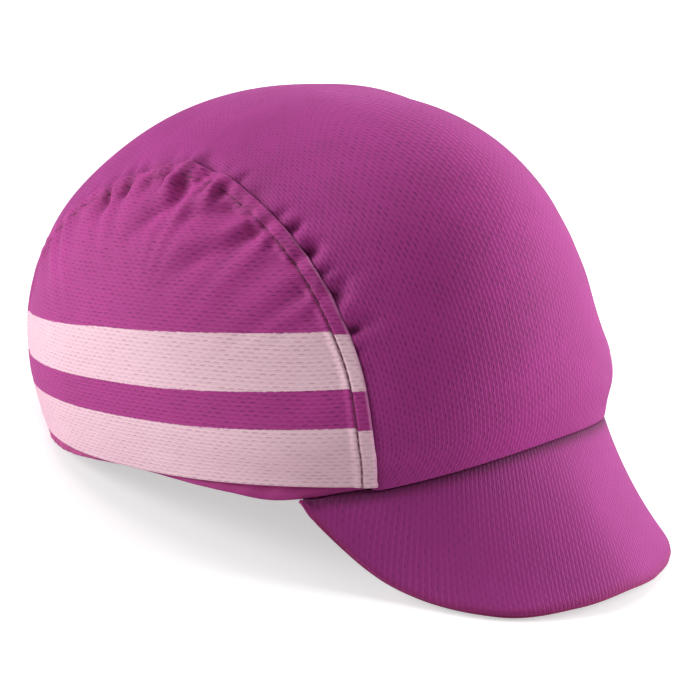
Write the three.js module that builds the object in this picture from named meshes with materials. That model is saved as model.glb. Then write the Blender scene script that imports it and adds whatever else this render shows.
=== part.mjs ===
// A knitted cycling cap, resting on a table as it would by itself.
// Millimetres, +Z up, the peak points to -Y and +X is the wearer's left.
// The cap is worked out as it is worn, with its lower edge about level, and is then tipped onto
// the peak's front edge and the nape. Its origin is the middle of its footprint, on the table.
import * as THREE from 'three';

// Crown
const crownWidth = 154;       // ear to ear, outside
const foreheadReach = 107;    // forehead ahead of the crown's middle axis
const napeReach = 100.7;      // nape behind the same axis
const crownHeight = 108.8;    // top above the level of the lower edge
const crownLean = 9.5;        // how far the top sits ahead of that axis
const lowerTurn = 25;         // degrees of the crown's sweep kept for the part under its widest line
const centreSpread = 36;      // degrees that the centre panel spreads to each side of the ridge
const clothWall = 1.2;
const seamGap = 0.3;          // clearance between sewn pieces
const bandGap = 0.5;          // clearance between the crown and the bands inside it
const weltWidth = 6;          // folded seam that lies on the side panels
const weltProud = 0.8;
const swellHeight = 2.4;      // largest swell or hollow of the soft crown
const foldDepth = 2.4;        // deepest gathered fold
const foldBreadth = 5;        // half the width of a broad fold

// Bands inside the lower edge
const bandHeight = 27;
const bandWall = 1.6;
const bandTurn = 105;         // the sweatband ends this many degrees from the front
const casingHeight = 20;
const casingWall = 2;
const gatherDepth = 0.7;
const gatherCount = 15;

// Peak
const peakReach = 29.6;       // front edge ahead of the crown's edge
const peakDrop = 28.4;        // front edge below the root's ends
const peakTurn = 49;          // the root ends this many degrees from the front
const peakWall = 1.4;         // each of its two skins
const peakTip = 0.6;          // share of that wall left at the root's ends
const restFlat = 1.2;         // how much of the nape casing is pressed flat by the cap's weight

// Crown sections, by degrees from the front: plan swells the oval, full and round shape the
// rise, belly, edge and hem are heights in shares of crownHeight, tuck draws the edge in
const crownRows = [
  { turn: 0, plan: 1, full: 1.047, round: 0.666, belly: 0.229, edge: 0.114, tuck: 0.028, hem: 0.08 },
  { turn: 45, plan: 1.025, full: 1.23, round: 0.872, belly: 0.156, edge: 0.023, tuck: 0.026, hem: 0.062 },
  { turn: 90, plan: 1, full: 0.976, round: 0.896, belly: 0.234, edge: 0.03, tuck: 0.037, hem: 0.045 },
  { turn: 135, plan: 1.027, full: 0.963, round: 0.968, belly: 0.223, edge: -0.016, tuck: 0.05, hem: 0.039 },
  { turn: 180, plan: 1, full: 1.006, round: 0.905, belly: 0.221, edge: 0.003, tuck: 0.03, hem: 0.039 },
];

// Half width of the centre panel along the ridge, in shares of centreSpread, by degrees over
// the head from the front
const seamRows = [
  { over: -25, spread: 0.8 },
  { over: 5, spread: 0.868 },
  { over: 30, spread: 0.848 },
  { over: 55, spread: 0.852 },
  { over: 75, spread: 0.94 },
  { over: 90, spread: 1 },
  { over: 120, spread: 1.03 },
  { over: 145, spread: 1 },
  { over: 180, spread: 0.93 },
  { over: 210, spread: 0.87 },
];

// Soft swells and hollows of the crown: place in degrees, size in degrees, height in shares
// of swellHeight
const swellRows = [
  { turn: 130, rise: -18, wide: 28, tall: 10, out: -0.53 },
  { turn: 130, rise: 0, wide: 28, tall: 10, out: -0.36 },
  { turn: 128, rise: 16, wide: 28, tall: 10, out: -0.34 },
  { turn: 125, rise: 32, wide: 28, tall: 10, out: 0.18 },
  { turn: 120, rise: 48, wide: 40, tall: 11, out: -0.41 },
  { turn: 48, rise: -14, wide: 28, tall: 9, out: -0.57 },
  { turn: 48, rise: 3, wide: 28, tall: 9, out: 0.3 },
  { turn: 46, rise: 18, wide: 28, tall: 9, out: -1 },
  { turn: 40, rise: 33, wide: 28, tall: 9, out: -0.38 },
];

// Gathered folds, each from one place to another in degrees of turn and rise; deep and broad
// are shares of foldDepth and foldBreadth, and a negative depth is a ridge
const foldRows = [
  { turnA: 112, riseA: 50, turnB: 119, riseB: 34, deep: 0.55, broad: 0.9 },
  { turnA: 97, riseA: 53, turnB: 103, riseB: 45, deep: 0.35, broad: 0.8 },
  { turnA: 90, riseA: 54, turnB: 99, riseB: 42, deep: -0.4, broad: 0.9 },
  { turnA: 81, riseA: 53, turnB: 97, riseB: 34, deep: 1, broad: 1 },
  { turnA: 74, riseA: 51, turnB: 86, riseB: 42, deep: -0.45, broad: 0.9 },
  { turnA: 67, riseA: 48, turnB: 88, riseB: 38, deep: 0.8, broad: 1 },
  { turnA: 61, riseA: 45, turnB: 78, riseB: 36, deep: -0.35, broad: 0.9 },
  { turnA: 58, riseA: 44, turnB: 79, riseB: 29, deep: 0.6, broad: 1.1 },
  { turnA: 45, riseA: 41, turnB: 39, riseB: 44, deep: 0.45, broad: 0.8 },
  { turnA: 38, riseA: 35, turnB: 33, riseB: 37, deep: 0.45, broad: 0.8 },
  { turnA: 34, riseA: 27, turnB: 28, riseB: 28, deep: 0.4, broad: 0.8 },
];

// The peak's front edge, by degrees round it from the middle: wide and long shape its outline,
// low is a share of peakDrop, sag dips its face by a share of its length there
const peakRows = [
  { turn: 0, wide: 0.806, long: 1, low: 1, sag: 0 },
  { turn: 18, wide: 0.877, long: 1.002, low: 1.039, sag: 0.022 },
  { turn: 38, wide: 0.953, long: 0.994, low: 1.035, sag: 0.046 },
  { turn: 60, wide: 0.943, long: 0.86, low: 0.796, sag: 0.036 },
  { turn: 78, wide: 1, long: 0.775, low: 0.123, sag: 0.036 },
  { turn: 90, wide: 1, long: 1, low: 0, sag: 0.036 },
];

const { degToRad, radToDeg, lerp, smoothstep, clamp } = THREE.MathUtils;
const up = new THREE.Vector3(0, 0, 1);
const bandInset = clothWall + bandGap;

// Smooth curve through one column of a table, level at both of its ends
function along(rows, key, column, at) {
  const last = rows.length - 1;
  let low = 0;
  while (low < last - 1 && at > rows[low + 1][key]) low += 1;
  const slope = (row) => (row === 0 || row === last ? 0
    : (rows[row + 1][column] - rows[row - 1][column]) / (rows[row + 1][key] - rows[row - 1][key]));
  const span = rows[low + 1][key] - rows[low][key];
  const s = clamp((at - rows[low][key]) / span, 0, 1);
  return (1 + 2 * s) * (1 - s) ** 2 * rows[low][column] + s * (1 - s) ** 2 * span * slope(low)
    + s * s * (3 - 2 * s) * rows[low + 1][column] + s * s * (s - 1) * span * slope(low + 1);
}

function crownRow(column, turn) {
  return along(crownRows, 'turn', column, Math.abs(turn));
}

// The crown's smooth form: an oval in plan, drawn in over the head and under its widest line
function bareCrown(turn, rise) {
  const side = Math.sin(degToRad(turn));
  const ahead = Math.cos(degToRad(turn));
  const oval = 1 / Math.hypot(side / (crownWidth / 2), ahead / (ahead > 0 ? foreheadReach : napeReach));
  const belly = crownRow('belly', turn);
  const climb = Math.sin(degToRad(Math.max(rise, 0)));
  const down = Math.max(-rise, 0) / lowerTurn;
  const inward = Math.cos(degToRad(clamp(rise, 0, 90))) ** crownRow('round', turn);
  const reach = crownRow('plan', turn) * oval * inward * (1 - crownRow('tuck', turn) * down ** 2);
  const height = belly + (1 - belly) * climb ** crownRow('full', turn)
    - down * (belly - crownRow('edge', turn));
  return new THREE.Vector3(reach * side, -reach * ahead - crownLean * climb ** 2, height * crownHeight);
}

function asDirection(turn, rise) {
  const flat = Math.cos(degToRad(rise));
  return new THREE.Vector3(flat * Math.sin(degToRad(turn)), -flat * Math.cos(degToRad(turn)),
    Math.sin(degToRad(rise)));
}

function asAngles(direction) {
  const turn = radToDeg(Math.atan2(direction.x, -direction.y));
  return { turn, rise: radToDeg(Math.atan2(direction.z, Math.hypot(direction.x, direction.y))) };
}

// Outward normal of the smooth form, from steps to both sides of a direction
function crownNormal(turn, rise) {
  const step = 0.01;
  const centre = asDirection(turn, rise);
  const sideways = new THREE.Vector3(Math.cos(degToRad(turn)), Math.sin(degToRad(turn)), 0);
  const upward = centre.clone().cross(sideways);
  const slopeAlong = (line) => {
    const [ahead, back] = [step, -step].map((move) => {
      const { turn: t, rise: r } = asAngles(centre.clone().addScaledVector(line, move));
      return bareCrown(t, r);
    });
    return ahead.sub(back);
  };
  const normal = slopeAlong(sideways).cross(slopeAlong(upward)).normalize();
  return normal.dot(centre) < 0 ? normal.negate() : normal;
}

// Relief of the soft cloth above the smooth form: swells, then folds measured along the surface
function relief(turn, rise, point, normal) {
  const swells = swellRows.reduce((sum, row) => sum + row.out * swellHeight
    * Math.exp(-(((Math.abs(turn) - row.turn) / row.wide) ** 2) - ((rise - row.rise) / row.tall) ** 2), 0);
  const near = new THREE.Vector3(Math.abs(point.x), point.y, point.z);
  const facing = new THREE.Vector3(Math.abs(normal.x), normal.y, normal.z);
  return foldRows.reduce((sum, row) => {
    const start = bareCrown(row.turnA, row.riseA);
    const line = bareCrown(row.turnB, row.riseB).sub(start);
    const away = near.clone().sub(start);
    const place = clamp(away.dot(line) / line.lengthSq(), 0, 1);
    away.addScaledVector(line, -place);
    away.addScaledVector(facing, -away.dot(facing));
    const fade = 1 - smoothstep(place, 0.45, 1) * 0.7;
    return sum - row.deep * foldDepth * fade * Math.exp(-((away.length() / (row.broad * foldBreadth)) ** 2));
  }, swells);
}

// A point of the cloth, out millimetres outside its surface
function skin(turn, rise, out = 0) {
  const point = bareCrown(turn, rise);
  const normal = crownNormal(turn, rise);
  return point.addScaledVector(normal, relief(turn, rise, point, normal) + out);
}

// The rise at which the crown has a given height, in shares of crownHeight
function riseAt(turn, height) {
  const belly = crownRow('belly', turn);
  if (height < belly) return -lowerTurn * (belly - height) / (belly - crownRow('edge', turn));
  return radToDeg(Math.asin(((height - belly) / (1 - belly)) ** (1 / crownRow('full', turn))));
}

function sideHem(turn) {
  return riseAt(turn, crownRow('hem', turn));
}

// The centre panel meets the peak in front and lies level with the side panels at the nape
function centreHem(turn) {
  return Math.abs(turn) < 90 ? riseAt(turn, crownRow('edge', turn) + seamGap / crownHeight) : sideHem(turn);
}

// Turn and rise of a place on the ridge strip, over degrees from the front and spread sideways
function onStrip(over, sideways) {
  const flat = Math.cos(degToRad(sideways));
  return asAngles(new THREE.Vector3(Math.sin(degToRad(sideways)), -flat * Math.cos(degToRad(over)),
    flat * Math.sin(degToRad(over))));
}

function seamSpread(over) {
  return centreSpread * along(seamRows, 'over', 'spread', over);
}

// Where a line of the strip crosses a hem, found by halving between two places over the head
function stripEnd(inside, outside, sidewaysAt, hem) {
  let [kept, cut] = [inside, outside];
  for (let pass = 0; pass < 24; pass += 1) {
    const middle = (kept + cut) / 2;
    const place = onStrip(middle, sidewaysAt(middle));
    if (place.rise > hem(place.turn)) kept = middle;
    else cut = middle;
  }
  return kept;
}

// One line of the strip, from the front hem to the nape's hem
function stripLine(sidewaysAt, hem) {
  const front = stripEnd(40, -50, sidewaysAt, hem);
  const nape = stripEnd(140, 230, sidewaysAt, hem);
  return (s) => {
    const over = lerp(front, nape, s);
    return onStrip(over, sidewaysAt(over));
  };
}

// Closed wall between two grids of points of the same size
function wallBetween(outer, inner) {
  const [rows, columns] = [outer.length, outer[0].length];
  const points = [...outer.flat(), ...inner.flat()];
  const at = (side, row, column) => (side * rows + row) * columns + column;
  const faces = [];
  const quad = (a, b, c, d) => faces.push(a, b, c, a, c, d);
  for (let row = 0; row < rows - 1; row += 1) {
    for (let column = 0; column < columns - 1; column += 1) {
      quad(at(0, row, column), at(0, row, column + 1), at(0, row + 1, column + 1), at(0, row + 1, column));
      quad(at(1, row, column), at(1, row + 1, column), at(1, row + 1, column + 1), at(1, row, column + 1));
    }
    quad(at(0, row, 0), at(0, row + 1, 0), at(1, row + 1, 0), at(1, row, 0));
    quad(at(0, row + 1, columns - 1), at(0, row, columns - 1), at(1, row, columns - 1),
      at(1, row + 1, columns - 1));
  }
  for (let column = 0; column < columns - 1; column += 1) {
    quad(at(0, 0, column + 1), at(0, 0, column), at(1, 0, column), at(1, 0, column + 1));
    quad(at(0, rows - 1, column), at(0, rows - 1, column + 1), at(1, rows - 1, column + 1),
      at(1, rows - 1, column));
  }
  return closedGeometry(points, faces);
}

// The faces are turned over together if they enclose a negative volume
function closedGeometry(points, faces) {
  let volume = 0;
  for (let f = 0; f < faces.length; f += 3) {
    const [a, b, c] = [points[faces[f]], points[faces[f + 1]], points[faces[f + 2]]];
    volume += a.dot(b.clone().cross(c));
  }
  const geometry = new THREE.BufferGeometry();
  geometry.setAttribute('position', new THREE.Float32BufferAttribute(points.flatMap((p) => p.toArray()), 3));
  geometry.setIndex(volume > 0 ? faces : faces.slice().reverse());
  geometry.computeVertexNormals();
  return geometry;
}

function grid(rows, columns, pointAt) {
  return rows.map((row) => columns.map((column) => pointAt(row, column)));
}

function evenly(count, from = 0, to = 1) {
  return Array.from({ length: count + 1 }, (_, step) => lerp(from, to, step / count));
}

function centrePanel() {
  const edgeGap = radToDeg(seamGap / crownWidth);
  const lines = evenly(14, -1, 1).map((w) => stripLine((over) => w * (seamSpread(over) - edgeGap), centreHem));
  const layer = (out) => grid(evenly(62), lines, (s, line) => {
    const { turn, rise } = line(s);
    return skin(turn, rise, out);
  });
  return wallBetween(layer(0), layer(-clothWall));
}

// A side panel spans the seam's front stretch, its arch and its back stretch, and the hem
function sidePanel(side) {
  const cornerFront = 0.27;
  const cornerBack = 0.77;
  const edgeGap = radToDeg(seamGap / crownWidth);
  const seam = stripLine((over) => seamSpread(over) + edgeGap, sideHem);
  const [frontFoot, napeFoot, archFront, archBack] = [0, 1, cornerFront, cornerBack].map(seam);
  const place = (u, v) => {
    const turnBelow = lerp(frontFoot.turn, napeFoot.turn, u);
    const below = { turn: turnBelow, rise: sideHem(turnBelow) };
    const above = seam(lerp(cornerFront, cornerBack, u));
    const [front, nape] = [seam(cornerFront * v), seam(1 - (1 - cornerBack) * v)];
    const mix = (key) => lerp(below[key], above[key], v) + lerp(front[key], nape[key], u)
      - lerp(lerp(frontFoot[key], napeFoot[key], u), lerp(archFront[key], archBack[key], u), v);
    return { turn: mix('turn'), rise: mix('rise') };
  };
  const seamLine = evenly(90).map((s) => seam(s)).map(({ turn, rise }) => bareCrown(turn, rise));
  const weltAt = (turn, rise) => {
    const point = bareCrown(turn, rise);
    const distance = Math.min(...seamLine.map((p) => p.distanceTo(point)));
    return weltProud * (1 - smoothstep(distance, weltWidth * 0.9, weltWidth * 1.3));
  };
  const across = [0, 0.028, 0.042, ...evenly(22, 0.075, 0.925), 0.958, 0.972, 1];
  const upward = [...evenly(9, 0, 0.86), 0.91, 0.935, 1];
  const layer = (inner) => grid(across, upward, (u, v) => {
    const { turn, rise } = place(u, v);
    return skin(side * turn, rise, inner ? -clothWall : weltAt(turn, rise));
  });
  return wallBetween(layer(false), layer(true));
}

// The sweatband lies inside the crown's edge, from temple to temple round the forehead
function sweatband() {
  const turns = evenly(44, -bandTurn, bandTurn);
  const layer = (out) => grid(evenly(3), turns, (s, turn) => {
    const edge = crownRow('edge', turn);
    return skin(turn, riseAt(turn, edge + s * bandHeight / crownHeight), out);
  });
  return wallBetween(layer(-bandInset), layer(-bandInset - bandWall));
}

// The elastic casing draws in the nape, in even gathers; what would pass the table lies flat on it
function napeCasing(pressedFlat) {
  const endGap = radToDeg(seamGap / (crownWidth / 2));
  const turns = evenly(gatherCount * 4, bandTurn + endGap, 360 - bandTurn - endGap);
  const span = 360 - 2 * bandTurn;
  const layer = (out) => grid(evenly(3), turns, (s, around) => {
    const turn = around > 180 ? around - 360 : around;
    const height = crownRow('edge', turn) + s * casingHeight / crownHeight;
    const gather = gatherDepth * (1 - Math.cos((around - bandTurn) / span * gatherCount * 2 * Math.PI)) / 2;
    return pressedFlat(skin(turn, riseAt(turn, height), out - gather));
  });
  return wallBetween(layer(-bandInset), layer(-bandInset - casingWall));
}

// The peak's outer edge, round it by degrees from its middle
function peakEdge(round) {
  const end = skin(peakTurn, -lowerTurn);
  const middle = skin(0, -lowerTurn);
  const row = (column) => along(peakRows, 'turn', column, Math.abs(round));
  const reach = peakReach - middle.y + end.y;
  return new THREE.Vector3(end.x * Math.sin(degToRad(round)) * row('wide'),
    end.y - reach * Math.cos(degToRad(round)) * row('long'), end.z - peakDrop * row('low'));
}

// A point of the peak's face: away runs from its root, 0, to its outer edge, 1
function peakFace(round, away) {
  const root = skin(round / 90 * peakTurn, -lowerTurn).addScaledVector(up, -seamGap);
  const chord = peakEdge(round).sub(root);
  const sag = along(peakRows, 'turn', 'sag', Math.abs(round)) * 4 * away * (1 - away) * chord.length();
  const bow = new THREE.Vector3(Math.sin(degToRad(round)) * 0.5, -Math.cos(degToRad(round)) * 0.5, 0.85);
  return root.addScaledVector(chord, away).addScaledVector(bow, -sag);
}

// The way through the peak, from its upper face to its under face
function peakThrough(round, away) {
  const bent = clamp(round, -78, 78);
  const face = clamp(away, 0.06, 0.94);
  const across = peakFace(bent + 1, face).sub(peakFace(bent - 1, face));
  const outward = peakFace(bent, face + 0.05).sub(peakFace(bent, face - 0.05));
  const through = across.cross(outward).normalize();
  return through.z > 0 ? through.negate() : through;
}

// One skin of the peak. Its lip runs in under the crown's edge and the sweatband, then it
// bends down, and its two faces keep their distance through that bend.
function peakSkin(fromTop, thickness) {
  const lip = bandInset + bandWall;
  const lastRound = 86;
  const rounds = evenly(34, -lastRound, lastRound);
  const taper = (round) => lerp(1, peakTip, smoothstep(Math.abs(round), 55, lastRound));
  const places = [-1, 0, ...evenly(7, 0.14, 1)];
  const layer = (deep) => grid(places, rounds, (away, round) => {
    const depth = deep * taper(round);
    const through = peakThrough(round, Math.max(away, 0));
    if (away > 0) return peakFace(round, away).addScaledVector(through, depth);
    const turn = round / 90 * peakTurn;
    if (away < 0) return skin(turn, -lowerTurn, -lip).addScaledVector(up, -seamGap - depth);
    const mitre = through.clone().sub(up).normalize();
    return peakFace(round, 0).addScaledVector(mitre, depth / -mitre.z);
  });
  return wallBetween(layer(fromTop), layer(fromTop + thickness));
}

// The tilt at which the peak's front and the nape stand on one table, and that table's height
function findRest(front, nape) {
  const upAt = (tilt) => new THREE.Vector3(0, -Math.sin(tilt), Math.cos(tilt));
  const lowest = (points, way) => Math.min(...points.map((p) => p.dot(way)));
  let [low, high] = [0, degToRad(30)];
  for (let pass = 0; pass < 30; pass += 1) {
    const way = upAt((low + high) / 2);
    if (lowest(front, way) < lowest(nape, way) + restFlat) low = (low + high) / 2;
    else high = (low + high) / 2;
  }
  return { tilt: low, way: upAt(low), height: lowest(front, upAt(low)) };
}

function pointsOf(geometry) {
  const places = geometry.getAttribute('position');
  return evenly(places.count - 1, 0, places.count - 1)
    .map((index) => new THREE.Vector3().fromBufferAttribute(places, Math.round(index)));
}

function piece(name, geometry, color, roughness) {
  const mesh = new THREE.Mesh(geometry, new THREE.MeshStandardMaterial({ color, roughness, metalness: 0 }));
  mesh.name = name;
  return mesh;
}

const peakUnder = peakSkin(peakWall + seamGap, peakWall);
const rest = findRest(pointsOf(peakUnder), pointsOf(napeCasing((point) => point)));
const ontoTable = (point) => {
  const above = point.dot(rest.way) - rest.height;
  return above < 0 ? point.addScaledVector(rest.way, -above) : point;
};

const worn = new THREE.Group();
worn.add(
  piece('crown_centre_panel', centrePanel(), '#a6448c', 0.85),
  piece('side_panel_right', sidePanel(-1), '#ab4584', 0.85),
  piece('side_panel_left', sidePanel(1), '#ab4584', 0.85),
  piece('sweatband', sweatband(), '#8f3370', 0.9),
  piece('nape_casing', napeCasing(ontoTable), '#a03b85', 0.9),
  piece('peak_upper', peakSkin(0, peakWall), '#9f3f8c', 0.85),
  piece('peak_under', peakUnder, '#8a2f6e', 0.85),
);
worn.rotation.x = -rest.tilt;

const cap = new THREE.Group();
cap.add(worn);
const footprint = new THREE.Box3().setFromObject(cap, true);
cap.position.set(0, -(footprint.min.y + footprint.max.y) / 2, -footprint.min.z);

export default cap;
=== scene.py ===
import bpy
import numpy as np
from mathutils import Matrix, Vector


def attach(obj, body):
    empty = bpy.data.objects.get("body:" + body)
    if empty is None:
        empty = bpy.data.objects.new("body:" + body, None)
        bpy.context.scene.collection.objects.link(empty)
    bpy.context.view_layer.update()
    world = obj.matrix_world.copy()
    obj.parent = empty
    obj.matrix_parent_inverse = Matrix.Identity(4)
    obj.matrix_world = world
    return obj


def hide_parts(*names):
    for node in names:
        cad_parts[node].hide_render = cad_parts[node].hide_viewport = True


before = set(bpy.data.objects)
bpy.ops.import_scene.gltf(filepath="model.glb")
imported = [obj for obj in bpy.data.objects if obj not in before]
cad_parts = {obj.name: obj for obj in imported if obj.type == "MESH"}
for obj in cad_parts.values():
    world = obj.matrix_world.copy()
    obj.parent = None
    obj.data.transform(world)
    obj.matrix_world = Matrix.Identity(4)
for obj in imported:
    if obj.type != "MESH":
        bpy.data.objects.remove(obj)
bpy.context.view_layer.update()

rest = {"tilt": 8.3552, "ahead": 0.016125, "lift": 0.011988}  # how the worn cap lies down

crown = {
    "width": 0.154, "forehead": 0.107, "nape": 0.1007, "height": 0.1088, "lean": 0.0095,
    "lowerTurn": 25.0, "wall": 0.0012, "swell": 0.0024,
    # a fold's depth and breadth, its shares of a soft and a sharper groove, the sharper one's
    # share of the breadth, and how much the fold fades from what share of its length
    "fold": 0.0024, "foldBreadth": 0.005, "foldSoft": 0.85, "foldCore": 0.4, "coreBreadth": 0.42,
    "foldFade": 0.7, "fadeFrom": 0.45,
    "sections": {
        "turn": [0, 45, 90, 135, 180],
        "plan": [1, 1.025, 1, 1.027, 1],
        "full": [1.047, 1.23, 0.976, 0.963, 1.006],
        "round": [0.666, 0.872, 0.896, 0.968, 0.905],
        "belly": [0.229, 0.156, 0.234, 0.223, 0.221],
        "edge": [0.114, 0.023, 0.03, -0.026, 0.003],
        "tuck": [0.028, 0.026, 0.037, 0.05, 0.03],
        "hem": [0.067, 0.058, 0.032, 0.012, 0.039],
    },
    # turn, rise, width and height of each soft swell, and its share of the swell height
    "swells": [
        (130, -18, 28, 10, -0.53), (130, 0, 28, 10, -0.36), (128, 16, 28, 10, -0.34),
        (125, 32, 28, 10, 0.18), (120, 48, 40, 11, -0.41), (48, -14, 28, 9, -0.57),
        (48, 3, 28, 9, 0.3), (46, 18, 28, 9, -1), (40, 33, 28, 9, -0.38),
    ],
    # each fold from turn, rise to turn, rise, then its shares of depth and breadth
    "folds": [
        (112, 50, 119, 34, 0.55, 0.9), (97, 53, 103, 45, 0.35, 0.8), (90, 54, 99, 42, -0.4, 0.9),
        (81, 53, 97, 34, 1, 1), (74, 51, 86, 42, -0.45, 0.9), (67, 48, 88, 38, 0.8, 1),
        (61, 45, 78, 36, -0.35, 0.9), (58, 44, 79, 29, 0.6, 1.1), (45, 41, 39, 44, 0.45, 0.8),
        (38, 35, 33, 37, 0.45, 0.8), (34, 27, 28, 28, 0.4, 0.8),
    ],
}
seam = {
    "spread": 36.0, "gap": 0.0003,
    "lip": 0.0008,  # the fold lies this much over the centre panel
    "over": [-26, -21, -15, -8, 5, 30, 55, 75, 90, 120, 145, 180, 210],
    "share": [0.807, 0.834, 0.858, 0.877, 0.889, 0.873, 0.877, 0.945, 1, 1.03, 1, 0.93, 0.87],
    # in front and at the nape, a place over the head that is on the panels and one that is off
    "feet": [(40.0, -50.0), (140.0, 230.0)], "halvings": 24, "points": 220,
    # stretches from the front foot to the nape, as shares of the seam: a weight rises from
    # nought to one between the first two places and falls again between the last two
    "arch": (0.17, 0.26, 0.7, 0.85), "front": (0.12, 0.19, 0.66, 0.8), "top": (0.28, 0.33, 0.6, 0.72),
    "frontDrop": 0.65, "dropBetween": (0.3, 0.36),
    "unevenPitch": 0.0271, "unevenStart": 0.8, "unevenShare": 0.25,
}
# two slow sways of a wave's phase: their shares of its speed, their sizes, and the first's start
sway = {"slow": 0.37, "slowSize": 0.9, "slowStart": 1.3, "slower": 0.21, "slowerSize": 0.5}


def along(table, key, column, at):
    # Cubic Hermite through a column of a table, with central slopes, level at both ends.
    x, y = np.array(table[key], float), np.array(table[column], float)
    slope = np.zeros(len(x))
    slope[1:-1] = (y[2:] - y[:-2]) / (x[2:] - x[:-2])
    low = np.clip(np.searchsorted(x, at, side="right") - 1, 0, len(x) - 2)
    span = x[low + 1] - x[low]
    s = np.clip((at - x[low]) / span, 0, 1)
    start = (1 + 2 * s) * (1 - s) ** 2 * y[low] + s * (1 - s) ** 2 * span * slope[low]
    return start + s * s * (3 - 2 * s) * y[low + 1] + s * s * (s - 1) * span * slope[low + 1]


def crownRow(column, turn):
    # The sections' column at a turn, the same on both sides.
    return along(crown["sections"], "turn", column, np.abs(turn))


def smoothStep(value, low, high):
    # Zero below low, one above high, and 3s2 - 2s3 between them.
    s = np.clip((value - low) / (high - low), 0, 1)
    return s * s * (3 - 2 * s)


def bell(value, middle, broad):
    # Gaussian: e to minus the square of the distance from the middle over the breadth.
    return np.exp(-((value - middle) / broad) ** 2)


def unit(vector):
    # A vector over its own length.
    return vector / np.maximum(np.linalg.norm(vector, axis=-1, keepdims=True), 1e-12)


def asDegrees(length):
    # A length on a sphere of half the crown's width, as an angle.
    return np.degrees(length / (crown["width"] / 2))


def bareCrown(turn, rise):
    # Oval in plan times cos(rise) to a power; height is belly plus the rest times sin(rise) to
    # a power, and under the belly the wall runs down to the edge and is drawn in.
    across, ahead = np.sin(np.radians(turn)), np.cos(np.radians(turn))
    reach = np.where(ahead > 0, crown["forehead"], crown["nape"])
    oval = 1 / np.hypot(across / (crown["width"] / 2), ahead / reach)
    belly = crownRow("belly", turn)
    climb = np.sin(np.radians(np.maximum(rise, 0)))
    down = np.maximum(-rise, 0) / crown["lowerTurn"]
    inward = np.cos(np.radians(np.clip(rise, 0, 90))) ** crownRow("round", turn)
    out = crownRow("plan", turn) * oval * inward * (1 - crownRow("tuck", turn) * down ** 2)
    height = belly + (1 - belly) * climb ** crownRow("full", turn)
    height = height - down * (belly - crownRow("edge", turn))
    return np.stack([out * across, -out * ahead - crown["lean"] * climb ** 2, height * crown["height"]], -1)


def asAngles(direction):
    # Turn is the angle from the front, rise the angle above the level, both of a direction.
    turn = np.degrees(np.arctan2(direction[..., 0], -direction[..., 1]))
    return turn, np.degrees(np.arctan2(direction[..., 2], np.hypot(direction[..., 0], direction[..., 1])))


def crownNormal(turn, rise):
    # Cross product of two central differences of the crown, in its own direction sphere.
    step = 0.01
    t, r = np.radians(turn), np.radians(rise)
    middle = np.stack([np.cos(r) * np.sin(t), -np.cos(r) * np.cos(t), np.sin(r)], -1)
    sideways = np.stack([np.cos(t), np.sin(t), np.zeros_like(t)], -1)
    upward = np.cross(middle, sideways)
    slopes = [bareCrown(*asAngles(middle + step * way)) - bareCrown(*asAngles(middle - step * way))
              for way in (sideways, upward)]
    normal = unit(np.cross(*slopes))
    return np.where((normal * middle).sum(-1, keepdims=True) < 0, -normal, normal)


def relief(turn, rise, point, normal):
    # Sum of Gaussian swells in turn and rise, less Gaussian grooves round straight fold lines.
    out = np.zeros(np.shape(turn))
    for atTurn, atRise, wide, tall, share in crown["swells"]:
        out = out + share * crown["swell"] * bell(np.abs(turn), atTurn, wide) * bell(rise, atRise, tall)
    mirror = np.ones(np.shape(point))
    mirror[..., 0] = np.where(point[..., 0] < 0, -1.0, 1.0)
    near, facing = point * mirror, normal * mirror
    for turnA, riseA, turnB, riseB, deep, broad in crown["folds"]:
        start = bareCrown(np.array(float(turnA)), np.array(float(riseA)))
        line = bareCrown(np.array(float(turnB)), np.array(float(riseB))) - start
        away = near - start
        place = np.clip((away @ line) / (line @ line), 0, 1)
        away = away - place[..., None] * line
        away = away - (away * facing).sum(-1, keepdims=True) * facing
        far = np.linalg.norm(away, axis=-1) / (broad * crown["foldBreadth"])
        groove = crown["foldSoft"] * bell(far, 0, 1) + crown["foldCore"] * bell(far, 0, crown["coreBreadth"])
        fade = 1 - smoothStep(place, crown["fadeFrom"], 1) * crown["foldFade"]
        out = out - deep * crown["fold"] * fade * groove
    return out


def skin(turn, rise, out=0.0):
    # A crown point moved along its normal by the relief and by out.
    point, normal = bareCrown(turn, rise), crownNormal(turn, rise)
    return point + normal * (relief(turn, rise, point, normal) + out)[..., None]


def riseAt(turn, height):
    # The rise at which the crown has a height, a share of the crown's own height.
    belly = crownRow("belly", turn)
    low = -crown["lowerTurn"] * (belly - height) / (belly - crownRow("edge", turn))
    share = np.clip((height - belly) / (1 - belly), 0, 1)
    return np.where(height < belly, low, np.degrees(np.arcsin(share ** (1 / crownRow("full", turn)))))


def sideHem(turn):
    # The rise of the side panels' lower edge.
    return riseAt(turn, crownRow("hem", turn))


def centreHem(turn):
    # The centre panel meets the peak in front, and is level with the side panels at the nape.
    front = riseAt(turn, crownRow("edge", turn) + seam["gap"] / crown["height"])
    return np.where(np.abs(turn) < 90, front, sideHem(turn))


def onStrip(over, sideways):
    # Turn and rise of a place on the ridge strip: over from the front, sideways from the ridge.
    o, s = np.radians(over), np.radians(sideways)
    return asAngles(np.stack([np.sin(s), -np.cos(s) * np.cos(o), np.cos(s) * np.sin(o)], -1))


def seamSpread(over):
    # Degrees from the ridge to the middle of the seam's gap, by the seam's table.
    return seam["spread"] * along(seam, "over", "share", over)


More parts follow.
